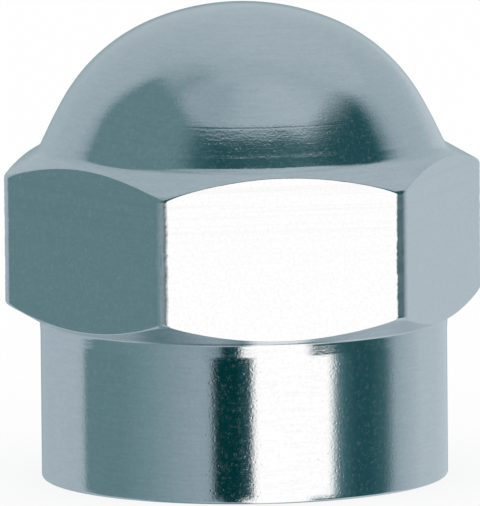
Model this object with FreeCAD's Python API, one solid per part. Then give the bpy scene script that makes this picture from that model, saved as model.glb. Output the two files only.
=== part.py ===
"""Tyre valve cap: a hexagon cap turned from bar, with a domed crown, a round skirt and a rubber washer inside.

Millimetres. The origin is the centre of the open mouth, on the rim that the cap stands on, and +Z runs up
the cap's axis to the top of the dome. Two of the six flats face -Y and +Y.

The body is one turned piece. Its outside is a turned outline met with the hexagon bar that it is cut from,
and its inside is one turned bore with a groove, in which the washer sits.
"""
import FreeCAD
import Part
import math
import os

# Hexagon band
ACROSS_FLATS = 10.0
CORNER_SKIM = 0.08              # how much the lathe takes off the tips of the bar's sharp corners
CORNER_HEIGHT = 3.04            # height of a skimmed corner between the two chamfers
CHAMFER_ANGLE = 30.0            # both chamfers, in degrees from the horizontal

# Skirt below the hexagon
SKIRT_DIAMETER = 9.6
SKIRT_HEIGHT = 3.75             # rim to the lower chamfer
SKIRT_EDGE_RADIUS = 0.12        # rounding of the rim's outer edge
SKIRT_FILLET = 0.22             # hollow between the skirt and the lower chamfer

# Dome above the hexagon: a straight flank, a shoulder arc and a crown arc, each tangent to the next
DOME_FOOT_DIAMETER = 9.6        # where the flank meets the upper chamfer
DOME_FILLET = 0.35              # hollow between the upper chamfer and the flank
FLANK_ANGLE = 26.6              # lean of the flank from the vertical, in degrees
FLANK_LENGTH = 1.06
SHOULDER_RADIUS = 4.25
CROWN_ANGLE = 67.5              # lean of the outline where the crown arc takes over, in degrees

# Threaded bore, as a plain hole at the crests of the thread
THREAD_MAJOR_DIAMETER = 7.8
THREAD_MINOR_DIAMETER = 6.95
BORE_DEPTH = 5.9                # rim to the washer's groove
MOUTH_CLEARANCE = 0.1           # how far the mouth's countersink opens past the roots of the thread

# Rubber washer
WASHER_GRIP = 0.15              # how far the washer reaches past the roots of the thread, so that it stays in
WASHER_THICKNESS = 1.5
WASHER_HOLE_DIAMETER = 4.0
WASHER_EDGE_RADIUS = 0.15

# Groove that holds the washer
GROOVE_SIDE_CLEARANCE = 0.05
GROOVE_END_CLEARANCE = 0.08     # under the washer, which sits against the top of the groove

# Drilled recess above the washer, which keeps clear of the valve's pin
RECESS_CLEARANCE = 0.1          # around the washer's hole
RECESS_DEPTH = 1.1              # straight side above the groove
DRILL_POINT_ANGLE = 118.0       # included angle of the drilled end, in degrees

AXIS_BOTTOM = FreeCAD.Vector(0, 0, 0)
AXIS_UP = FreeCAD.Vector(0, 0, 1)


def section_point(radius, height):
    """A point of a half section, which lies in the XZ plane."""
    return FreeCAD.Vector(radius, 0, height)


def leaning(angle):
    """The unit direction in a half section that climbs inwards, leaning by the angle from the vertical."""
    return section_point(-math.sin(math.radians(angle)), math.cos(math.radians(angle)))


def outward(angle):
    """The unit direction square to leaning(angle), away from the axis."""
    return section_point(math.cos(math.radians(angle)), math.sin(math.radians(angle)))


def rounded_path(corners, closed=False):
    """Edges along a list of (corner, radius), with a tangent arc at each corner whose radius isn't zero."""
    count = len(corners)
    arrivals = []
    departures = []
    arcs = []
    for index, (corner, radius) in enumerate(corners):
        if radius == 0 or (not closed and index in (0, count - 1)):
            arrivals.append(corner)
            departures.append(corner)
            arcs.append(None)
            continue
        back = (corners[index - 1][0] - corner).normalize()
        ahead = (corners[(index + 1) % count][0] - corner).normalize()
        half_angle = back.getAngle(ahead) / 2
        bisector = (back + ahead).normalize()
        middle = corner + bisector * (radius / math.sin(half_angle) - radius)
        arrivals.append(corner + back * (radius / math.tan(half_angle)))
        departures.append(corner + ahead * (radius / math.tan(half_angle)))
        arcs.append(Part.Arc(arrivals[-1], middle, departures[-1]).toShape())
    edges = []
    for index in range(count):
        if arcs[index]:
            edges.append(arcs[index])
        if closed or index < count - 1:
            edges.append(Part.makeLine(departures[index], arrivals[(index + 1) % count]))
    return edges


def tangent_arc(start, angle, radius, end_angle):
    """An arc that leaves start leaning by angle and bends inwards until it leans by end_angle."""
    centre = start - outward(angle) * radius
    middle = centre + outward((angle + end_angle) / 2) * radius
    end = centre + outward(end_angle) * radius
    return Part.Arc(start, middle, end).toShape(), end


def turned(edges):
    """The solid that a closed half section sweeps about the axis."""
    wire = Part.Wire(edges)
    return Part.Face(wire).revolve(AXIS_BOTTOM, AXIS_UP, 360)


def sharp_corner_radius():
    """Distance from the axis to a sharp corner of the hexagon bar."""
    return ACROSS_FLATS / 2 / math.cos(math.pi / 6)


def hexagon_bar(height):
    """Upright hexagon bar with sharp corners, two flats facing -Y and +Y."""
    corners = []
    for side in range(6):
        turn = math.radians(60 * side)
        corners.append(FreeCAD.Vector(math.cos(turn), math.sin(turn), 0) * sharp_corner_radius())
    outline = Part.makePolygon(corners + corners[:1])
    return Part.Face(outline).extrude(AXIS_UP * height)


def turned_outside():
    """The outside as it leaves the lathe, before the hexagon's flats, and its height."""
    skirt_radius = SKIRT_DIAMETER / 2
    foot_radius = DOME_FOOT_DIAMETER / 2
    corner_radius = sharp_corner_radius() - CORNER_SKIM
    slope = math.tan(math.radians(CHAMFER_ANGLE))
    corner_bottom = SKIRT_HEIGHT + (corner_radius - skirt_radius) * slope
    corner_top = corner_bottom + CORNER_HEIGHT
    foot_height = corner_top + (corner_radius - foot_radius) * slope
    rim_wall = skirt_radius - mouth_radius()
    foot = section_point(foot_radius, foot_height)
    flank_top = foot + leaning(FLANK_ANGLE) * FLANK_LENGTH
    path = rounded_path(
        [
            (section_point(0, 0), 0),
            (section_point(skirt_radius, 0), min(SKIRT_EDGE_RADIUS, rim_wall / 2)),
            (section_point(skirt_radius, SKIRT_HEIGHT), SKIRT_FILLET),
            (section_point(corner_radius, corner_bottom), 0),
            (section_point(corner_radius, corner_top), 0),
            (foot, DOME_FILLET),
            (flank_top, 0),
        ]
    )
    shoulder, shoulder_end = tangent_arc(flank_top, FLANK_ANGLE, SHOULDER_RADIUS, CROWN_ANGLE)
    crown_radius = shoulder_end.x / math.cos(math.radians(CROWN_ANGLE))
    crown, crown_top = tangent_arc(shoulder_end, CROWN_ANGLE, crown_radius, 90)
    crown_top.x = 0
    axis = Part.makeLine(crown_top, AXIS_BOTTOM)
    return turned(path + [shoulder, crown, axis]), crown_top.z


def mouth_radius():
    """Radius of the mouth's countersink at the rim."""
    return THREAD_MAJOR_DIAMETER / 2 + MOUTH_CLEARANCE


def washer_radius():
    """Outer radius of the washer."""
    return THREAD_MAJOR_DIAMETER / 2 + WASHER_GRIP


def groove_top():
    """Height of the groove's ceiling, which the washer sits against."""
    return BORE_DEPTH + GROOVE_END_CLEARANCE + WASHER_THICKNESS


def turned_inside():
    """The hollow: countersunk mouth, bore, washer groove and drilled recess."""
    bore_radius = THREAD_MINOR_DIAMETER / 2
    groove_radius = washer_radius() + GROOVE_SIDE_CLEARANCE
    recess_radius = WASHER_HOLE_DIAMETER / 2 + RECESS_CLEARANCE
    recess_top = groove_top() + RECESS_DEPTH
    drilled_end = recess_top + recess_radius / math.tan(math.radians(DRILL_POINT_ANGLE / 2))
    corners = [
        section_point(0, 0),
        section_point(mouth_radius(), 0),
        section_point(bore_radius, mouth_radius() - bore_radius),
        section_point(bore_radius, BORE_DEPTH),
        section_point(groove_radius, BORE_DEPTH),
        section_point(groove_radius, groove_top()),
        section_point(recess_radius, groove_top()),
        section_point(recess_radius, recess_top),
        section_point(0, drilled_end),
    ]
    return turned(rounded_path([(corner, 0) for corner in corners], closed=True))


def cap_body():
    """The plated body: the turned outside met with the hexagon bar, less the turned inside."""
    outside, height = turned_outside()
    return outside.common(hexagon_bar(height)).cut(turned_inside())


def sealing_washer():
    """The rubber ring that lies against the top of its groove."""
    hole_radius = WASHER_HOLE_DIAMETER / 2
    bottom = groove_top() - WASHER_THICKNESS
    corners = [
        (section_point(hole_radius, bottom), 0),
        (section_point(washer_radius(), bottom), WASHER_EDGE_RADIUS),
        (section_point(washer_radius(), groove_top()), WASHER_EDGE_RADIUS),
        (section_point(hole_radius, groove_top()), 0),
    ]
    return turned(rounded_path(corners, closed=True))


def write_parts():
    """Writes one STEP file per sub-part into parts/."""
    os.makedirs("parts", exist_ok=True)
    for name, make in (("cap_body", cap_body), ("sealing_washer", sealing_washer)):
        make().exportStep(f"parts/{name}.step")


write_parts()
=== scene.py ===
"""Looks of the tyre valve cap: a plated body with its internal thread, a rubber washer and a small studio.

Everything is in metres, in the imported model's frame: the origin is the centre of the open mouth, on the rim
that the cap stands on, +Z runs up the cap's axis, and two of the six flats face -Y and +Y.
"""
import math

import bpy
import numpy as np
from bpy.props import FloatProperty, FloatVectorProperty, IntProperty, PointerProperty
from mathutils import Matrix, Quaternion, Vector


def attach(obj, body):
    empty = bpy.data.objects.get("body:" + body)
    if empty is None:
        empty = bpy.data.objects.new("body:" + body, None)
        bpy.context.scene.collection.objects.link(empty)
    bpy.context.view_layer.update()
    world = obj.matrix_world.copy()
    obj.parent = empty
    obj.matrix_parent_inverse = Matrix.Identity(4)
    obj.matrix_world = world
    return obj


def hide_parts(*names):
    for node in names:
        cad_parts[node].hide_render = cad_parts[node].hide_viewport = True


bl_info = {
    "name": "Tyre valve cap",
    "version": (1, 0, 0),
    "blender": (4, 5, 0),
    "location": "3D View > Sidebar > Valve Cap",
    "description": "Builds the plated cap, its rubber washer, and the studio that they stand in",
    "category": "Add Mesh",
}

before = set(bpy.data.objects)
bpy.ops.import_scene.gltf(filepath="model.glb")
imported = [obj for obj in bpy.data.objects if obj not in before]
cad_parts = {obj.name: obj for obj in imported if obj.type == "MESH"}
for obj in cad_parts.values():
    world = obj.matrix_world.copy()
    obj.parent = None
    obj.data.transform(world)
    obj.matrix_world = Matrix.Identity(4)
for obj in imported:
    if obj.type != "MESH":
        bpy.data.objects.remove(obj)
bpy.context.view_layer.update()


def length(name, default, description):
    """A property that holds a length in metres."""
    return FloatProperty(name=name, description=description, default=default, unit="LENGTH", precision=6)


def angle(name, degrees, description):
    """A property that holds an angle, given here in degrees."""
    return FloatProperty(name=name, description=description, default=math.radians(degrees), subtype="ANGLE")


def lengths(name, default, description):
    """A property that holds three lengths in metres."""
    return FloatVectorProperty(
        name=name, description=description, default=default, size=3, unit="LENGTH", precision=6
    )


def colour(name, default, description):
    """A property that holds a colour."""
    return FloatVectorProperty(
        name=name, description=description, default=default, size=3, min=0, max=1, subtype="COLOR"
    )


class BodySizes(bpy.types.PropertyGroup):
    """Sizes of the plated body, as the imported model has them, and of the details that only show up close."""

    across_flats: length("Across flats", 0.0100, "Width of the hexagon bar")
    corner_skim: length("Corner skim", 0.00008, "How much the lathe takes off the tips of the bar's corners")
    corner_height: length("Corner height", 0.00304, "Height of a skimmed corner between the two chamfers")
    chamfer_angle: angle("Chamfer angle", 30, "Slope of both chamfers from the horizontal")
    skirt_diameter: length("Skirt diameter", 0.0096, "Diameter of the round skirt")
    skirt_height: length("Skirt height", 0.00375, "Height from the rim to the lower chamfer")
    skirt_edge_radius: length("Skirt edge radius", 0.00007, "Rounding of the rim's outer edge")
    skirt_fillet: length("Skirt fillet", 0.00008, "Hollow between the skirt and the lower chamfer")
    collar_height: length("Collar height", 0.0003, "Height of the faint flare at the top of the skirt")
    collar_flare: length("Collar flare", 0.00002, "How far the top of the skirt flares")
    dome_foot_diameter: length("Dome foot diameter", 0.0096, "Diameter where the dome meets the chamfer")
    dome_fillet: length("Dome fillet", 0.00035, "Hollow at the foot of the dome")
    flank_angle: angle("Flank angle", 26.6, "Lean of the dome's flank from the vertical")
    flank_length: length("Flank length", 0.00106, "Length of the flank")
    flank_bulge: length("Flank bulge", 0.000011, "How far the middle of the flank stands proud")
    bulge_rise: length("Bulge rise", 0.00028, "Height above the flank at which its bulge begins")
    shoulder_radius: length("Shoulder radius", 0.00425, "Radius of the dome's shoulder")
    crown_angle: angle("Crown angle", 67.5, "Lean of the outline where the crown takes over")
    thread_major_diameter: length("Thread major diameter", 0.0078, "Diameter at the roots of the thread")
    thread_minor_diameter: length("Thread minor diameter", 0.00695, "Diameter at the crests of the thread")
    thread_pitch: length("Thread pitch", 0.000794, "Distance from one turn of the thread to the next")
    mouth_diameter: length("Mouth diameter", 0.0080, "Diameter of the countersink at the rim")
    bore_depth: length("Bore depth", 0.0059, "Height from the rim to the washer's groove")
    groove_diameter: length("Groove diameter", 0.0082, "Diameter of the washer's groove")
    groove_height: length("Groove height", 0.00158, "Height of the washer's groove")
    recess_diameter: length("Recess diameter", 0.0042, "Diameter of the drilled recess above the groove")
    recess_depth: length("Recess depth", 0.0011, "Straight depth of the drilled recess")
    drill_angle: angle("Drill angle", 118, "Included angle of the drilled end")
    edge_rounding: length("Edge rounding", 0.00003, "Rounding of the edges between flats and chamfers")
    tip_rounding: length("Tip rounding", 0.00014, "Rounding of the same edges at the corners")
    skims: lengths("Skims", (0.00008, 0.000045, 0.000073), "Skim of the corner at +X and of the next two")
    roundings_before: lengths(
        "Roundings before", (0.0003, 0.00022, 0.00011), "Rounding of those corners on the side before them"
    )
    roundings_after: lengths(
        "Roundings after", (0.0003, 0.00033, 0.0004), "Rounding of those corners on the side after them"
    )
    corner_wear: length("Corner wear", 0.00003, "How far the edges of the corners stray on to the flats")


class WasherSizes(bpy.types.PropertyGroup):
    """Sizes of the rubber washer."""

    diameter: length("Diameter", 0.0081, "Outer diameter")
    hole_diameter: length("Hole diameter", 0.0040, "Diameter of the hole")
    thickness: length("Thickness", 0.0015, "Thickness")
    top_height: length("Top height", 0.00748, "Height of the washer's top above the rim")
    edge_radius: length("Edge radius", 0.00015, "Rounding of the outer edges")
    hole_edge_radius: length("Hole edge radius", 0.00004, "Rounding of the edges of the hole")


class FinishColours(bpy.types.PropertyGroup):
    """Colours of the finishes and of the studio's floor."""

    plating: colour("Plating", (0.66, 0.70, 0.72), "Bright plated metal")
    rubber: colour("Rubber", (0.025, 0.025, 0.027), "Black rubber")
    floor: colour("Floor", (0.97, 0.97, 0.97), "Plain floor")


class StudioSizes(bpy.types.PropertyGroup):
    """Place of the camera and size of the floor."""

    camera_azimuth: angle("Camera azimuth", -10.6, "Turn of the camera about the cap's axis from -Y")
    camera_elevation: angle("Camera elevation", 7.94, "Height of the camera above the horizontal")
    camera_roll: angle("Camera roll", -0.51, "Turn of the camera about its line of sight")
    camera_distance: length("Camera distance", 0.4, "Distance from the camera to the cap")
    aim_height: length("Aim height", 0.00527, "Height that the camera looks at")
    aim_shift: length("Aim shift", 0.000073, "How far the camera looks to the left of the cap's axis")
    focal_length: FloatProperty(
        name="Focal length", description="Lens of the camera", default=1206, unit="CAMERA"
    )
    floor_width: length("Floor width", 1.2, "Width of the floor")
    floor_steps: IntProperty(name="Floor steps", description="Faces along a side of the floor", default=24)


# Corners of the hexagon, each with an edge before it and one after it
CORNERS = 6

# Points along the roundings and the straight runs of the plan
ARC_STEPS = 7
PLAN_STEPS = (12, 3, 12)

# Points along the crown, the shoulder and the roundings of the outside, and along its straight runs: flank,
# upper chamfer, flat, lower chamfer, collar, skirt and rim
CROWN_STEPS = 30
SHOULDER_STEPS = 44
EDGE_STEPS = 8
SECTION_STEPS = (11, 5, 60, 5, 3, 6, 2)

# Rings up the threaded bore, points along each straight run above it, and how many times narrower than the
# recess the last ring before the drilled tip is
THREAD_RINGS = 130
RECESS_STEPS = 3
TIP_RATIO = 20

# Points along the washer's roundings and straight runs, and round it
WASHER_EDGE_STEPS = 7
WASHER_STEPS = 5
WASHER_COLUMNS = 144

# Edges that turn by more than this are creases
CREASE_ANGLE = math.radians(32)

# Points nearer than this to a flat lie on it, in metres
NEAR = 1e-7

# Seed of the random wear of the corners
WEAR_SEED = 11


def rounded_rows(corners, radii, arc_steps, *run_steps):
    """Rows of points along a path with rounded corners, for all columns at once.

    corners has a row for each corner, a column for each copy of the path, and two coordinates. A corner with
    a radius becomes an arc: with u and v the unit directions back and ahead along the path and h half the
    angle between them, the arc starts and ends radius / tan(h) from the corner, and its centre is
    radius / sin(h) away along u + v. Its points are the centre plus the radius along directions turned
    evenly from the first to the last. A straight run between two corners has as many points as run_steps
    says, one number for all runs or one for each, closer together near its ends, at the fractions
    (1 - cos(pi k)) / 2. A radius is one number, or one for each column.
    """
    rows = []
    run_steps = np.broadcast_to(run_steps, len(radii) - 1)
    for index, radius in enumerate(radii):
        corner = corners[index]
        radius = np.reshape(radius, (-1, 1))
        if np.any(radius):
            back = corners[index - 1] - corner
            ahead = corners[index + 1] - corner
            back = back / np.linalg.norm(back, axis=1, keepdims=True)
            ahead = ahead / np.linalg.norm(ahead, axis=1, keepdims=True)
            half = np.arccos(np.clip((back * ahead).sum(axis=1, keepdims=True), -1, 1)) / 2
            inwards = (back + ahead) / np.linalg.norm(back + ahead, axis=1, keepdims=True)
            centre = corner + inwards * radius / np.sin(half)
            first = (corner + back * radius / np.tan(half) - centre) / radius
            last = (corner + ahead * radius / np.tan(half) - centre) / radius
            turn = math.pi - 2 * half
            share = np.linspace(0, 1, arc_steps)[:, None, None]
            spread = (np.sin((1 - share) * turn) * first + np.sin(share * turn) * last) / np.sin(turn)
            rows.append(centre + radius * spread)
        else:
            rows.append(corner[None])
        if index + 1 < len(radii):
            rows.append(np.full((run_steps[index], *corner.shape), np.nan))
    path = np.concatenate(rows)
    return fill_runs(path)


def fill_runs(path):
    """Fills each run of empty rows from the rows before and after it, closer together near its ends."""
    known = np.flatnonzero(~np.isnan(path[:, 0, 0]))
    for before, after in zip(known[:-1], known[1:]):
        steps = after - before
        share = (1 - np.cos(math.pi * np.arange(1, steps) / steps)) / 2
        share = share[:, None, None]
        path[before + 1 : after] = path[before] * (1 - share) + path[after] * share
    return path


def hexagon_plan(sizes):
    """Angle and distance from the axis of the points around the hexagon bar, and which way its edges stray.

    Round one corner the path runs from the middle of a flat to the skimmed corner, across it, and to the
    middle of the next flat. The skim circle of radius R cuts the flats at acos(flat / R) from their middles.
    The two roundings of a corner together take up less than the width of the skimmed corner, or the path
    would fold back. Three corners differ a little, and turned by 180 degrees they give the other three. An
    edge strays towards the middle of its flat, square to the flat's normal, which is 30 degrees before or
    after the corner, and the points across the corner share out what its two edges do.
    """
    flat = sizes.across_flats / 2
    around = []
    distance = []
    stray = []
    for corner in range(CORNERS):
        kind = corner % len(sizes.skims)
        skim = flat / math.cos(math.pi / 6) - sizes.skims[kind]
        reach = math.pi / 6 - math.acos(flat / skim)
        turns = np.array([-math.pi / 6, -reach, reach, math.pi / 6])
        distances = np.array([flat, skim, skim, flat])
        corners = np.stack([distances * np.cos(turns), distances * np.sin(turns)], axis=1)
        radii = [0, sizes.roundings_before[kind], sizes.roundings_after[kind], 0]
        points = rounded_rows(corners[:, None], radii, ARC_STEPS, *PLAN_STEPS)[:-1, 0]
        turn = corner * math.pi / 3
        around.append(np.arctan2(points[:, 1], points[:, 0]) + turn)
        distance.append(np.hypot(points[:, 0], points[:, 1]))

        before = np.zeros(len(points))
        before[1 + PLAN_STEPS[0] :][:ARC_STEPS] = 1
        across = 1 + PLAN_STEPS[0] + ARC_STEPS
        before[across : across + PLAN_STEPS[1]] = np.linspace(1, 0, PLAN_STEPS[1] + 2)[1:-1]
        after = np.zeros(len(points))
        after[across : across + PLAN_STEPS[1]] = np.linspace(0, 1, PLAN_STEPS[1] + 2)[1:-1]
        after[across + PLAN_STEPS[1] :][:ARC_STEPS] = 1
        ways = turn + np.array([-math.pi / 6, math.pi / 6])
        ways = np.stack([-np.sin(ways), np.cos(ways)], axis=1)
        shares = np.zeros((len(points), 2 * CORNERS))
        shares[:, 2 * corner] = -before
        shares[:, 2 * corner + 1] = after
        stray.append(shares[:, :, None] * np.tile(ways, (CORNERS, 1)))
    return np.concatenate(around), np.concatenate(distance), np.concatenate(stray)


def section_corners(pairs, columns):
    """Corners for rounded_rows from pairs of radius and height, each one number or one for each column."""
    level = np.ones(columns)
    return np.stack([np.stack([radius * level, height * level], axis=1) for radius, height in pairs])


def outside_section(sizes, plan):
    """Rows of (radius, height) down the outside, from the top of the dome to the countersink's edge.

    The crown and the shoulder are two arcs, tangent to each other, and the shoulder is tangent to the flank,
    which is straight but for its bulge. Below the flank come the upper chamfer, the hexagon's flat at the
    plan's distance from the axis, the lower chamfer, the skirt and the rim. The chamfers are cones, so their
    edges on the flats rise and fall with that distance, and the rounding of these edges grows towards the
    corners with the sixth power of how much farther out they are than the middle of a flat. The flank bulges
    by sin(pi k) squared times its bulge at the share k of the way down to its foot, from a start on the
    shoulder.
    """
    slope = math.tan(sizes.chamfer_angle)
    skirt = sizes.skirt_diameter / 2
    foot = sizes.dome_foot_diameter / 2
    skim = sizes.across_flats / 2 / math.cos(math.pi / 6) - sizes.corner_skim
    corner_top = sizes.skirt_height + (skim - skirt) * slope + sizes.corner_height
    flat_bottom = sizes.skirt_height + (plan - skirt) * slope
    flat_top = corner_top + (skim - plan) * slope
    foot_height = corner_top + (skim - foot) * slope
    rise = sizes.collar_flare * slope
    flank_radius = foot - sizes.flank_length * math.sin(sizes.flank_angle)
    flank_height = foot_height + sizes.flank_length * math.cos(sizes.flank_angle)

    shoulder_lean = np.linspace(sizes.crown_angle, sizes.flank_angle, SHOULDER_STEPS)[:-1]
    centre_radius = flank_radius - sizes.shoulder_radius * math.cos(sizes.flank_angle)
    centre_height = flank_height - sizes.shoulder_radius * math.sin(sizes.flank_angle)
    shoulder = np.stack(
        [
            centre_radius + sizes.shoulder_radius * np.cos(shoulder_lean),
            centre_height + sizes.shoulder_radius * np.sin(shoulder_lean),
        ],
        axis=1,
    )
    crown_radius = shoulder[0, 0] / math.cos(sizes.crown_angle)
    crown_height = shoulder[0, 1] - crown_radius * math.sin(sizes.crown_angle)
    crown_lean = np.linspace(math.pi / 2, sizes.crown_angle, CROWN_STEPS)[1:-1]
    crown = np.stack(
        [crown_radius * np.cos(crown_lean), crown_height + crown_radius * np.sin(crown_lean)], axis=1
    )
    apex = crown_height + crown_radius
    dome = np.concatenate([crown, shoulder])
    dome = np.repeat(dome[:, None], len(plan), axis=1)

    cornering = ((plan - sizes.across_flats / 2) / (skim - sizes.across_flats / 2)) ** 6
    edge = sizes.edge_rounding + (sizes.tip_rounding - sizes.edge_rounding) * cornering
    pairs = [
        (flank_radius, flank_height),
        (foot, foot_height),
        (plan, flat_top),
        (plan, flat_bottom),
        (skirt + sizes.collar_flare, sizes.skirt_height + rise),
        (skirt, sizes.skirt_height - sizes.collar_height),
        (skirt, 0),
        (sizes.mouth_diameter / 2, 0),
    ]
    radii = [0, sizes.dome_fillet, edge, edge, sizes.skirt_fillet, 0, sizes.skirt_edge_radius, 0]
    lower = rounded_rows(section_corners(pairs, len(plan)), radii, EDGE_STEPS, *SECTION_STEPS)
    section = np.concatenate([dome, lower])
    bulge_top = flank_height + sizes.bulge_rise
    down = np.clip((bulge_top - section[:, :, 1]) / (bulge_top - foot_height), 0, 1)
    section[:, :, 0] += sizes.flank_bulge * np.sin(math.pi * down) ** 2
    return section, apex


def thread_radius(sizes, around, height):
    """Distance from the axis of the right-hand internal thread.

    The distance in turns from the middle of a crest comes from height / pitch - angle / (2 pi). The profile
    is flat for an eighth of a turn each side of the crest, climbs to the root over five sixteenths of a
    turn, which are the 60 degree flanks, and is flat again at the root.
    """
    half_crest = 1 / 8
    flank = 5 / 16
    turns = height / sizes.thread_pitch - around / (2 * math.pi)
    from_crest = np.abs((turns + 0.5) % 1 - 0.5)
    depth = np.clip((from_crest - half_crest) / flank, 0, 1)
    crest = sizes.thread_minor_diameter / 2
    return crest + (sizes.thread_major_diameter / 2 - crest) * depth


def inside_section(sizes, around):
    """Rows of (radius, height) up the inside, from the countersink to the recess, and the height of its tip.

    The bore's wall is the wider of the countersink's 45 degree cone and the thread, so the thread runs out
    in the countersink by itself. The groove, the recess and the drilled cone follow.
    """
    height = np.linspace(0, sizes.bore_depth, THREAD_RINGS + 1)[1:, None]
    cone = sizes.mouth_diameter / 2 - height
    wall = np.maximum(cone, thread_radius(sizes, around[None], height))
    bore = np.stack([wall, np.broadcast_to(height, wall.shape)], axis=2)

    groove = sizes.groove_diameter / 2
    groove_top = sizes.bore_depth + sizes.groove_height
    recess = sizes.recess_diameter / 2
    recess_top = groove_top + sizes.recess_depth
    tip = recess_top + recess / math.tan(sizes.drill_angle / 2)
    pairs = [
        (groove, sizes.bore_depth),
        (groove, groove_top),
        (recess, groove_top),
        (recess, recess_top),
        (recess / TIP_RATIO, tip - (tip - recess_top) / TIP_RATIO),
    ]
    corners = section_corners(pairs, len(around))
    upper = rounded_rows(corners, [0] * len(pairs), EDGE_STEPS, RECESS_STEPS)
    return np.concatenate([bore, upper]), tip


def ring_quads(rows, columns, closed):
    """Quads between neighbouring rings, which face away from the axis where the rows run downwards.

    Vertex (row, column) is number row * columns + column. Each ring closes on itself, and where closed is
    true the last ring is joined to the first.
    """
    column = np.arange(columns)
    beside = (column + 1) % columns
    row = np.arange(rows if closed else rows - 1)[:, None]
    start = row * columns
    below = (row + 1) % rows * columns
    corners = [start + column, below + column, below + beside, start + beside]
    return np.stack(corners, axis=2).reshape(-1, 4)


def new_piece(name, points, faces, material):
    """A smooth-shaded mesh object whose creases stay sharp, riding on the cap."""
    mesh = bpy.data.meshes.new(name)
    mesh.from_pydata(points, [], faces)
    mesh.materials.append(material)
    mesh.shade_smooth()
    mesh.set_sharp_from_angle(angle=CREASE_ANGLE)
    mesh.validate()
    piece = bpy.data.objects.new(name, mesh)
    bpy.context.scene.collection.objects.link(piece)
    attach(piece, "root")
    return piece


def mark_points(piece, name, marked):
    """Stores 1 at the marked points of the piece's rings and 0 at the rest, its poles among them."""
    values = np.zeros(len(piece.data.vertices), dtype=np.float32)
    values[: marked.size] = marked.ravel()
    piece.data.attributes.new(name, "FLOAT", "POINT").data.foreach_set("value", values)


def add_node(tree, kind, inputs=None, **settings):
    """A new shader node, with its settings, and its inputs by name or number as values or links."""
    node = tree.nodes.new(kind)
    for name, value in settings.items():
        setattr(node, name, value)
    for socket, value in (inputs or {}).items():
        if isinstance(value, bpy.types.NodeSocket):
            tree.links.new(value, node.inputs[socket])
        else:
            node.inputs[socket].default_value = value
    return node


def calculate(tree, operation, first, second=0.0, third=0.0):
    """Output of a Math node."""
    node = add_node(tree, "ShaderNodeMath", {0: first, 1: second, 2: third}, operation=operation)
    return node.outputs["Value"]


def ramp(tree, factor, stops):
    """Colour output of a colour ramp with the given (position, colour) stops."""
    node = add_node(tree, "ShaderNodeValToRGB", {"Fac": factor})
    elements = node.color_ramp.elements
    while len(elements) < len(stops):
        elements.new(0.5)
    for element, (position, shade) in zip(elements, stops):
        element.position = position
    for element, (position, shade) in zip(node.color_ramp.elements, stops):
        element.color = (*shade, 1)
    return node.outputs["Color"]


def noise(tree, place, scale, detail, roughness):
    """Value of a noise texture."""
    inputs = {"Vector": place, "Scale": scale, "Detail": detail, "Roughness": roughness}
    return add_node(tree, "ShaderNodeTexNoise", inputs).outputs["Fac"]


def stretched(tree, place, scales):
    """A place whose coordinates are each multiplied by a number of their own."""
    return add_node(tree, "ShaderNodeMapping", {"Vector": place, "Scale": scales}).outputs[0]


def mapped(tree, value, start, end, low=0.0, high=1.0, curve="LINEAR"):
    """The number between low and high that goes with a value between start and end."""
    inputs = {"Value": value, "From Min": start, "From Max": end, "To Min": low, "To Max": high}
    return add_node(tree, "ShaderNodeMapRange", inputs, interpolation_type=curve).outputs[0]


def shaded(base, factor):
    """A colour made lighter or darker, with its alpha."""
    return [min(channel * factor, 1) for channel in base] + [1]


def blend(tree, factor, first, second):
    """Colour output of a Mix node, from first at factor 0 to second at factor 1."""
    node = add_node(tree, "ShaderNodeMix", {0: factor, 6: first, 7: second}, data_type="RGBA")
    return node.outputs[2]


def new_material(name):
    """An empty node material with its Principled shader, and its tree."""
    material = bpy.data.materials.new(name)
    material.use_nodes = True
    tree = material.node_tree
    return material, tree, tree.nodes["Principled BSDF"]


# Relief of the plating in micrometres, and the places and widths in metres of two lines round the dome
TOOL_LINE_DEPTH = 0.9
SCRATCH_DEPTH = 1.1
GRAIN_DEPTH = 1.2
PIT_DEPTH = 0.8
RIPPLE_DEPTH = 0.7
NICK_DEPTH = 4.0
GROOVE_DEPTH = 0.5
GROOVE_HEIGHT = 0.008795
GROOVE_WIDTH = 0.00002
RIDGE_DEPTH = 2.4
RIDGE_HEIGHT = 0.00812
RIDGE_WIDTH = 0.000065

# Cells of each pattern to the metre, in all directions or along x, y and z
TOOL_LINE_SCALE = 9000.0
TOOL_LINE_DRIFT = 90.0
SCRATCH_SCALES = (1500.0, 1500.0, 16000.0)
STREAK_SCALES = (90.0, 90.0, 11000.0)
GRAIN_SCALE = 18000.0
PIT_SCALE = 11500.0
RIPPLE_SCALE = 2600.0
NICK_SCALE = 8000.0
MOTTLE_SCALE = 13000.0
SPECK_SCALE = 11000.0

# Distances from the middle of a cell between which a pit deepens, how much shallower pits are on the flats,
# and the heights between which the streaks on the flats begin to show
PIT_REACH = (0.42, 0.1)
FLAT_PIT_LOSS = 0.8
STREAK_HEIGHTS = (0.0055, 0.0070)

# Darker and paler mottles of the plating, the roughness that goes with them, and what worn corners add to it
DARKER = 0.92
PALER = 1.06
PLATING_ROUGHNESS = (0.06, 0.09)
WORN_ROUGHNESS = 0.24

# Share of the plating that is dull and scatters light from all round, in the dullest specks and in the mean
DULLEST_SHARE = 0.055
DULL_SHARE = 0.009


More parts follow.
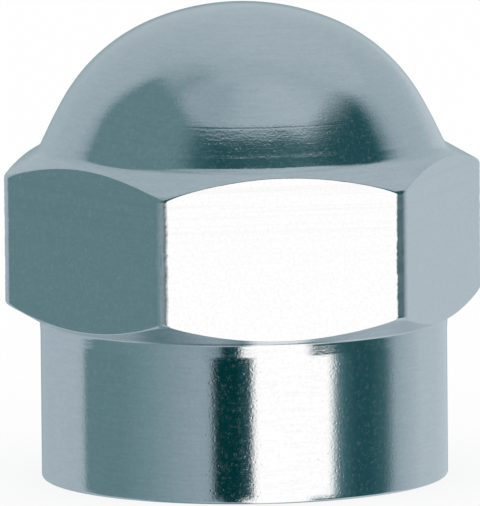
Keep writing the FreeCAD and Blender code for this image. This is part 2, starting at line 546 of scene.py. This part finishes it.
def plated_metal(base):
    """Bright plating over turned metal.

    On the turned surfaces fine tool lines run round the axis, as a noise of radius and height, with level
    scratches, one deeper line round the dome and one raised one. The flats, marked by the attribute
    bar_flat, keep only faint streaks. A fine grain and small pits, one in most of a Voronoi texture's cells,
    break up the edges of reflections everywhere, and dull specks mottle them. The corners, marked by
    worn_corner, are satin and nicked.
    """
    material, tree, shader = new_material("plated_metal")
    place = add_node(tree, "ShaderNodeTexCoord").outputs["Object"]
    parts = add_node(tree, "ShaderNodeSeparateXYZ", {0: place})
    across = add_node(tree, "ShaderNodeCombineXYZ", {0: parts.outputs[0], 1: parts.outputs[1]}).outputs[0]
    radius = add_node(tree, "ShaderNodeVectorMath", {0: across}, operation="LENGTH").outputs["Value"]
    height = parts.outputs[2]
    flat = add_node(tree, "ShaderNodeAttribute", attribute_name="bar_flat").outputs["Fac"]
    turned = calculate(tree, "SUBTRACT", 1.0, flat)
    worn = add_node(tree, "ShaderNodeAttribute", attribute_name="worn_corner").outputs["Fac"]

    outwards = calculate(tree, "MULTIPLY", radius, TOOL_LINE_SCALE)
    upwards = calculate(tree, "MULTIPLY", height, TOOL_LINE_SCALE)
    drift = calculate(tree, "MULTIPLY", parts.outputs[0], TOOL_LINE_DRIFT)
    tool_place = add_node(tree, "ShaderNodeCombineXYZ", {0: outwards, 1: upwards, 2: drift}).outputs[0]
    streaks = noise(tree, stretched(tree, place, STREAK_SCALES), 1.0, 3.0, 0.6)
    mottle = noise(tree, place, MOTTLE_SCALE, 2.0, 0.6)
    scratches = noise(tree, stretched(tree, place, SCRATCH_SCALES), 1.0, 3.0, 0.6)
    cells = add_node(tree, "ShaderNodeTexVoronoi", {"Vector": place, "Scale": PIT_SCALE})
    pits = mapped(tree, cells.outputs["Distance"], *PIT_REACH, curve="SMOOTHSTEP")
    chance = add_node(tree, "ShaderNodeSeparateColor", {0: cells.outputs["Color"]}).outputs[0]
    chance = mapped(tree, chance, 0.3, 1.0)

    def layer(below, value, share, depth):
        centred = calculate(tree, "SUBTRACT", value, 0.5)
        return calculate(tree, "MULTIPLY_ADD", calculate(tree, "MULTIPLY", centred, share), depth, below)

    def ring(below, middle, width, depth):
        away = calculate(tree, "DIVIDE", calculate(tree, "SUBTRACT", height, middle), width)
        nearness = calculate(tree, "MULTIPLY", calculate(tree, "POWER", away, 2.0), -1.0)
        return calculate(tree, "MULTIPLY_ADD", calculate(tree, "POWER", math.e, nearness), depth, below)

    relief = layer(0.0, noise(tree, tool_place, 1.0, 4.0, 0.65), turned, TOOL_LINE_DEPTH)
    relief = layer(relief, scratches, turned, SCRATCH_DEPTH)
    relief = layer(relief, noise(tree, place, GRAIN_SCALE, 2.0, 0.6), 1.0, GRAIN_DEPTH)
    relief = layer(relief, noise(tree, place, RIPPLE_SCALE, 1.0, 0.5), 1.0, RIPPLE_DEPTH)
    relief = layer(relief, noise(tree, place, NICK_SCALE, 2.0, 0.6), worn, NICK_DEPTH)
    pitted = calculate(tree, "MULTIPLY_ADD", flat, -FLAT_PIT_LOSS, 1.0)
    pits = calculate(tree, "MULTIPLY", calculate(tree, "MULTIPLY", pits, chance), pitted)
    relief = calculate(tree, "MULTIPLY_ADD", pits, -PIT_DEPTH, relief)
    relief = ring(relief, GROOVE_HEIGHT, GROOVE_WIDTH, -GROOVE_DEPTH)
    relief = ring(relief, RIDGE_HEIGHT, RIDGE_WIDTH, RIDGE_DEPTH)
    bump = add_node(tree, "ShaderNodeBump", {"Strength": 1.0, "Distance": 1e-6, "Height": relief})

    shade = mapped(tree, mottle, 0.3, 0.7)
    lines = mapped(tree, scratches, 0.3, 0.7)
    shade = calculate(tree, "MULTIPLY_ADD", shade, 0.5, 0.25)
    shade = layer(shade, lines, turned, 0.5)
    tone = blend(tree, shade, shaded(base, DARKER), shaded(base, PALER))
    haze = mapped(tree, streaks, 0.5, 0.75)
    upper = mapped(tree, height, *STREAK_HEIGHTS)
    haze = calculate(tree, "MULTIPLY", calculate(tree, "MULTIPLY", haze, flat), upper)
    tone = blend(tree, haze, tone, shaded(base, DARKER))
    tree.links.new(tone, shader.inputs["Base Color"])
    roughness = mapped(tree, mottle, 0.3, 0.7, *PLATING_ROUGHNESS)
    roughness = calculate(tree, "MULTIPLY_ADD", worn, WORN_ROUGHNESS, roughness)
    tree.links.new(roughness, shader.inputs["Roughness"])
    tree.links.new(bump.outputs["Normal"], shader.inputs["Normal"])
    specks = mapped(tree, noise(tree, place, SPECK_SCALE, 2.0, 0.6), 0.48, 0.75, curve="SMOOTHSTEP")
    metallic = calculate(tree, "MULTIPLY_ADD", specks, -DULLEST_SHARE, 1.0)
    tree.links.new(metallic, shader.inputs["Metallic"])
    return material


def seal_rubber(base):
    """Matte black rubber with a fine uneven skin."""
    material, tree, shader = new_material("seal_rubber")
    place = add_node(tree, "ShaderNodeTexCoord").outputs["Object"]
    skin = noise(tree, place, 9000.0, 4.0, 0.6)
    dust = noise(tree, place, 1500.0, 5.0, 0.7)
    tone = blend(tree, mapped(tree, dust, 0.35, 0.7), shaded(base, 1.0), shaded(base, 1.8))
    tree.links.new(tone, shader.inputs["Base Color"])
    tree.links.new(mapped(tree, skin, 0.0, 1.0, 0.55, 0.8), shader.inputs["Roughness"])
    bump = add_node(tree, "ShaderNodeBump", {"Strength": 0.6, "Distance": 4e-6, "Height": skin})
    tree.links.new(bump.outputs["Normal"], shader.inputs["Normal"])
    return material


# How much of what the camera sees of the floor is plain white
FLOOR_GLOW = 0.82


def floor_paint(base):
    """Matte floor paint, which the camera sees mostly as plain white, so that shadows on it stay light."""
    material, tree, shader = new_material("floor_paint")
    place = add_node(tree, "ShaderNodeTexCoord").outputs["Object"]
    tone = blend(tree, noise(tree, place, 6.0, 2.0, 0.5), shaded(base, 0.99), shaded(base, 1.0))
    tree.links.new(tone, shader.inputs["Base Color"])
    shader.inputs["Roughness"].default_value = 1.0
    shader.inputs["Specular IOR Level"].default_value = 0.0
    glow = add_node(tree, "ShaderNodeEmission", {"Color": (1, 1, 1, 1), "Strength": 1.0}).outputs[0]
    seen = add_node(tree, "ShaderNodeLightPath").outputs["Is Camera Ray"]
    share = calculate(tree, "MULTIPLY", seen, FLOOR_GLOW)
    surface = add_node(tree, "ShaderNodeMixShader", {0: share, 1: shader.outputs[0], 2: glow})
    tree.links.new(surface.outputs[0], tree.nodes["Material Output"].inputs["Surface"])
    return material


def linear(red, green, blue):
    """The linear colour of a display colour given in 0 to 255, by the sRGB curve."""
    levels = np.array([red, green, blue]) / 255
    return np.where(levels <= 0.04045, levels / 12.92, ((levels + 0.055) / 1.055) ** 2.4)


# Plain tones of the cards, the walls and the gaps between them, as the plating shows them
NEAR_BLACK = (14, 52, 55)
DARK_TEAL = (37, 75, 81)
DEEP_TEAL = (56, 91, 97)
MID_TEAL = (80, 110, 116)
SLATE = (94, 124, 130)
STEEL = (107, 134, 141)
STONE = (121, 142, 149)
ASH = (136, 154, 163)
SILVER = (149, 166, 174)
PEARL = (158, 173, 181)
PALE_GREY = (167, 181, 189)
CLOUD = (177, 190, 198)
SOFT_WHITE = (238, 242, 244)
WHITE = (255, 255, 255)

# What stands round the cap in the studio, by the direction in degrees from the camera's side, positive to
# the camera's right. From one stop to the next the light changes evenly.
WALLS = [
    (-180, STONE),
    (-161, SILVER),
    (-132, PEARL),
    (-110, PEARL),
    (-105, SILVER),
    (-102, SLATE),
    (-74, SLATE),
    (-58, STEEL),
    (-27, ASH),
    (-20, ASH),
    (-16, NEAR_BLACK),
    (-4, NEAR_BLACK),
    (3.2, DARK_TEAL),
    (6.2, WHITE),
    (49, WHITE),
    (54, SLATE),
    (59, DEEP_TEAL),
    (66, DARK_TEAL),
    (76, DARK_TEAL),
    (86, DEEP_TEAL),
    (90, MID_TEAL),
    (96, ASH),
    (103, SILVER),
    (120, PALE_GREY),
    (166, PALE_GREY),
    (180, STONE),
]
LOWER_WALLS = [
    (-180, SLATE),
    (-166, SILVER),
    (-99, PEARL),
    (-95, SLATE),
    (-60, STEEL),
    (-26, ASH),
    (-15, STONE),
    (-11, NEAR_BLACK),
    (-3, DARK_TEAL),
    (0, WHITE),
    (36, WHITE),
    (42, DEEP_TEAL),
    (70, DARK_TEAL),
    (86, DEEP_TEAL),
    (94, STONE),
    (104, SILVER),
    (135, PALE_GREY),
    (166, PALE_GREY),
    (180, SLATE),
]
BELOW = [
    (-180, SILVER),
    (-144, SILVER),
    (-104, PEARL),
    (-86, SILVER),
    (-73, STEEL),
    (-64, STEEL),
    (-44, ASH),
    (-24, PALE_GREY),
    (-12, PEARL),
    (0, ASH),
    (8, WHITE),
    (45, WHITE),
    (56, PALE_GREY),
    (66, PALE_GREY),
    (95, CLOUD),
    (124, CLOUD),
    (139, PALE_GREY),
    (180, SILVER),
]
STRAIGHT_BELOW = [
    (-180, STONE),
    (-88, STEEL),
    (6, MID_TEAL),
    (14, SOFT_WHITE),
    (58, SOFT_WHITE),
    (68, MID_TEAL),
    (84, SLATE),
    (104, SILVER),
    (180, PALE_GREY),
]
UPPER_WALLS = [
    (-180, PEARL),
    (-120, SILVER),
    (-112, ASH),
    (-106, SLATE),
    (-48, SLATE),
    (-38, MID_TEAL),
    (-32, DEEP_TEAL),
    (-16, DARK_TEAL),
    (41, DEEP_TEAL),
    (61, DARK_TEAL),
    (92, DARK_TEAL),
    (96, DEEP_TEAL),
    (108, ASH),
    (118, SILVER),
    (180, PEARL),
]
CEILING = [
    (-180, PEARL),
    (-134, SILVER),
    (-80, STONE),
    (-56, ASH),
    (-22, ASH),
    (2, SILVER),
    (34, PEARL),
    (54, PEARL),
    (88, SILVER),
    (131, PEARL),
    (180, PEARL),
]
ZENITH = SILVER

# Elevations in degrees between which each list takes over from the one below it, STRAIGHT_BELOW first, and
# between which the zenith takes over from the ceiling
BANDS = [
    (-66.0, -57.0, BELOW),
    (-40.0, -27.0, LOWER_WALLS),
    (-16.0, -11.0, WALLS),
    (3.0, 14.0, UPPER_WALLS),
]
ZENITH_BAND = (70.0, 86.0)

# The brightest light of the studio, which is more than the display can show
BRIGHTEST = 1.6

# A quarter turn in degrees, of which the heights below go through a colour ramp as shares
QUARTER = 90.0

# Height of the walls' tops above the horizon, and half the height over which they fade, in degrees
WALL_TOPS = [
    (-180, 40, 4),
    (-117, 52, 4),
    (-108, 57, 5),
    (-92, 59, 5),
    (-75, 59, 5),
    (-60, 56, 5),
    (-50, 52.5, 5),
    (-40, 48.5, 4),
    (-30, 47.8, 2),
    (0, 48, 2),
    (30, 47, 2),
    (48, 43.5, 3),
    (58, 43.5, 5),
    (70, 45, 8),
    (80, 46, 10),
    (92, 46, 10),
    (100, 45, 8),
    (106, 42, 5),
    (120, 38, 4),
    (180, 38, 4),
]


def seen_tone(tone, plating):
    """The light that the plating shows as the given tone, together with the white light that it scatters."""
    light = (linear(*tone) / np.array(plating) - DULL_SHARE) / (1 - DULL_SHARE)
    return tuple(np.clip(light, 0, BRIGHTEST))


def studio_light(world, azimuth, plating):
    """A white surround, in which the plating sees the cards and dark gaps of the photographer's studio.

    For a glossy ray the azimuth from the camera's side picks a tone from each list, and the elevation picks
    the list: from straight below the cap and below it, through the lower and the level part of the walls and
    the part above the softbox, to the ceiling over their tops and the zenith.
    """
    world.use_nodes = True
    tree = world.node_tree
    tree.nodes.clear()
    direction = add_node(tree, "ShaderNodeTexCoord").outputs["Generated"]
    facing = add_node(
        tree, "ShaderNodeVectorRotate", {"Vector": direction, "Angle": -azimuth}, rotation_type="Z_AXIS"
    ).outputs[0]
    parts = add_node(tree, "ShaderNodeSeparateXYZ", {0: facing})
    away = calculate(tree, "MULTIPLY", parts.outputs[1], -1.0)
    turn = calculate(tree, "ARCTAN2", parts.outputs[0], away)
    share = calculate(tree, "MULTIPLY_ADD", turn, 0.5 / math.pi, 0.5)
    elevation = calculate(tree, "MULTIPLY", calculate(tree, "ARCSINE", parts.outputs[2]), 180 / math.pi)

    def round_ramp(stops):
        return ramp(tree, share, [((degrees + 180) / 360, shade) for degrees, shade in stops])

    def tones(stops):
        return round_ramp([(degrees, seen_tone(tone, plating)) for degrees, tone in stops])

    def rising(value, start, end):
        return mapped(tree, value, start, end, curve="SMOOTHSTEP")

    edges = [(degrees, (top / QUARTER, fade / QUARTER, 0)) for degrees, top, fade in WALL_TOPS]
    edge = add_node(tree, "ShaderNodeSeparateColor", {0: round_ramp(edges)})
    over = calculate(tree, "SUBTRACT", elevation, calculate(tree, "MULTIPLY", edge.outputs[0], QUARTER))
    over = calculate(tree, "DIVIDE", over, calculate(tree, "MULTIPLY", edge.outputs[1], QUARTER))
    zenith = [*seen_tone(ZENITH, plating), 1]
    ceiling = blend(tree, rising(elevation, *ZENITH_BAND), tones(CEILING), zenith)
    surround = tones(STRAIGHT_BELOW)
    for start, end, upper in BANDS:
        surround = blend(tree, rising(elevation, start, end), surround, tones(upper))
    surround = blend(tree, rising(over, -1.0, 1.0), surround, ceiling)
    glossy = add_node(tree, "ShaderNodeLightPath").outputs["Is Glossy Ray"]
    light = blend(tree, glossy, [1, 1, 1, 1], surround)
    background = add_node(tree, "ShaderNodeBackground", {"Color": light, "Strength": 1.0})
    add_node(tree, "ShaderNodeOutputWorld", {"Surface": background.outputs[0]})


class VALVECAP_OT_body(bpy.types.Operator):
    """Builds the plated body as one closed skin, with the thread, the groove and the recess inside"""

    bl_idname = "valvecap.body"
    bl_label = "Plated body"

    def execute(self, context):
        sizes = context.scene.cap_body_sizes
        around, plan, stray = hexagon_plan(sizes)
        outside, apex = outside_section(sizes, plan)
        inside, tip = inside_section(sizes, around)
        section = np.concatenate([outside, inside])
        rows, columns = section.shape[:2]
        radius = section[:, :, 0]
        rings = np.stack([radius * np.cos(around), radius * np.sin(around), section[:, :, 1]], axis=2)
        on_flat = np.isclose(radius, plan, rtol=0, atol=NEAR) & (section[:, :, 1] > sizes.skirt_height)
        level = np.flatnonzero(on_flat.all(axis=1))
        wear = np.random.default_rng(WEAR_SEED).uniform(0, 1, (len(level), 2 * CORNERS)) * sizes.corner_wear
        wear *= np.sin(np.linspace(0, math.pi, len(level)))[:, None]
        rings[level, :, :2] += np.einsum("re,ced->rcd", wear, stray)
        points = np.concatenate([rings.reshape(-1, 3), [[0, 0, apex], [0, 0, tip]]])
        quads = ring_quads(rows, columns, closed=False)
        column = np.arange(columns)
        beside = (column + 1) % columns
        last = (rows - 1) * columns
        top_fan = np.stack([np.full(columns, rows * columns), column, beside], axis=1)
        tip_fan = np.stack([last + column, np.full(columns, rows * columns + 1), last + beside], axis=1)
        faces = quads.tolist() + top_fan.tolist() + tip_fan.tolist()
        colours = context.scene.cap_finish_colours
        body = new_piece("plated_body", points, faces, plated_metal(colours.plating))

        from_middle = np.mod(around, math.pi / 3) - math.pi / 6
        corner = plan * np.cos(from_middle) < sizes.across_flats / 2 - NEAR
        mark_points(body, "bar_flat", on_flat & ~corner)
        mark_points(body, "worn_corner", on_flat & corner)
        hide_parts("cap_body")
        return {"FINISHED"}


class VALVECAP_OT_washer(bpy.types.Operator):
    """Builds the rubber washer that lies against the top of its groove"""

    bl_idname = "valvecap.washer"
    bl_label = "Rubber washer"

    def execute(self, context):
        sizes = context.scene.cap_washer_sizes
        outer = sizes.diameter / 2
        hole = sizes.hole_diameter / 2
        top = sizes.top_height
        bottom = top - sizes.thickness
        middle = (top + bottom) / 2
        pairs = [(hole, middle), (hole, top), (outer, top), (outer, bottom), (hole, bottom), (hole, middle)]
        radii = [0, sizes.hole_edge_radius, sizes.edge_radius, sizes.edge_radius, sizes.hole_edge_radius, 0]
        path = rounded_rows(section_corners(pairs, 1), radii, WASHER_EDGE_STEPS, WASHER_STEPS)
        section = path[:-1, 0]
        around = np.linspace(0, 2 * math.pi, WASHER_COLUMNS + 1)[:-1]
        rings = np.stack(
            [
                section[:, :1] * np.cos(around),
                section[:, :1] * np.sin(around),
                np.repeat(section[:, 1:], len(around), axis=1),
            ],
            axis=2,
        )
        faces = ring_quads(len(section), len(around), closed=True).tolist()
        colours = context.scene.cap_finish_colours
        washer = new_piece("rubber_washer", rings.reshape(-1, 3), faces, seal_rubber(colours.rubber))
        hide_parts("sealing_washer")
        return {"FINISHED"}


class VALVECAP_OT_studio(bpy.types.Operator):
    """Builds the floor, the light and the camera"""

    bl_idname = "valvecap.studio"
    bl_label = "Studio"

    def execute(self, context):
        scene = context.scene
        sizes = scene.cap_studio_sizes
        colours = scene.cap_finish_colours
        steps = sizes.floor_steps
        side = np.linspace(-sizes.floor_width / 2, sizes.floor_width / 2, steps + 1)
        across, along = np.meshgrid(side, side)
        points = np.stack([across, along, np.zeros_like(across)], axis=2).reshape(-1, 3)
        corner = (np.arange(steps)[:, None] * (steps + 1) + np.arange(steps)).ravel()
        faces = np.stack([corner, corner + 1, corner + steps + 2, corner + steps + 1], axis=1)
        mesh = bpy.data.meshes.new("floor")
        mesh.from_pydata(points, [], faces.tolist())
        mesh.materials.append(floor_paint(colours.floor))
        floor = bpy.data.objects.new("floor", mesh)
        floor.visible_glossy = False
        scene.collection.objects.link(floor)

        scene.world = scene.world or bpy.data.worlds.new("studio")
        studio_light(scene.world, sizes.camera_azimuth, colours.plating)

        towards = Vector(
            (
                math.sin(sizes.camera_azimuth) * math.cos(sizes.camera_elevation),
                -math.cos(sizes.camera_azimuth) * math.cos(sizes.camera_elevation),
                math.sin(sizes.camera_elevation),
            )
        )
        rightwards = Vector((math.cos(sizes.camera_azimuth), math.sin(sizes.camera_azimuth), 0))
        aim = Vector((0, 0, sizes.aim_height)) - rightwards * sizes.aim_shift
        camera_data = bpy.data.cameras.new("camera")
        camera_data.lens = sizes.focal_length
        camera_data.sensor_width = 36
        camera_data.clip_start = 0.01
        camera_data.clip_end = 10
        camera = bpy.data.objects.new("camera", camera_data)
        scene.collection.objects.link(camera)
        camera.location = aim + towards * sizes.camera_distance
        camera.rotation_mode = "QUATERNION"
        roll = Quaternion((0, 0, 1), sizes.camera_roll)
        camera.rotation_quaternion = (-towards).to_track_quat("-Z", "Y") @ roll
        scene.camera = camera
        scene.view_settings.view_transform = "Standard"
        return {"FINISHED"}


class VALVECAP_PT_panel(bpy.types.Panel):
    """Lists the operators in the order in which the cap is built"""

    bl_idname = "VALVECAP_PT_panel"
    bl_label = "Tyre valve cap"
    bl_space_type = "VIEW_3D"
    bl_region_type = "UI"
    bl_category = "Valve Cap"

    def draw(self, context):
        for operator in OPERATORS:
            self.layout.operator(operator.bl_idname)


OPERATORS = (VALVECAP_OT_body, VALVECAP_OT_washer, VALVECAP_OT_studio)
GROUPS = {
    "cap_body_sizes": BodySizes,
    "cap_washer_sizes": WasherSizes,
    "cap_finish_colours": FinishColours,
    "cap_studio_sizes": StudioSizes,
}
CLASSES = (*GROUPS.values(), *OPERATORS, VALVECAP_PT_panel)


def register():
    """Registers the classes and hangs the property groups on the scene."""
    for entry in CLASSES:
        bpy.utils.register_class(entry)
    for name, group in GROUPS.items():
        setattr(bpy.types.Scene, name, PointerProperty(type=group))


def unregister():
    """Takes away what register added."""
    for name in GROUPS:
        delattr(bpy.types.Scene, name)
    for entry in reversed(CLASSES):
        bpy.utils.unregister_class(entry)


def main():
    """Builds every piece and the stage."""
    register()
    bpy.ops.valvecap.body()
    bpy.ops.valvecap.washer()
    bpy.ops.valvecap.studio()


if __name__ == "__main__":
    main()
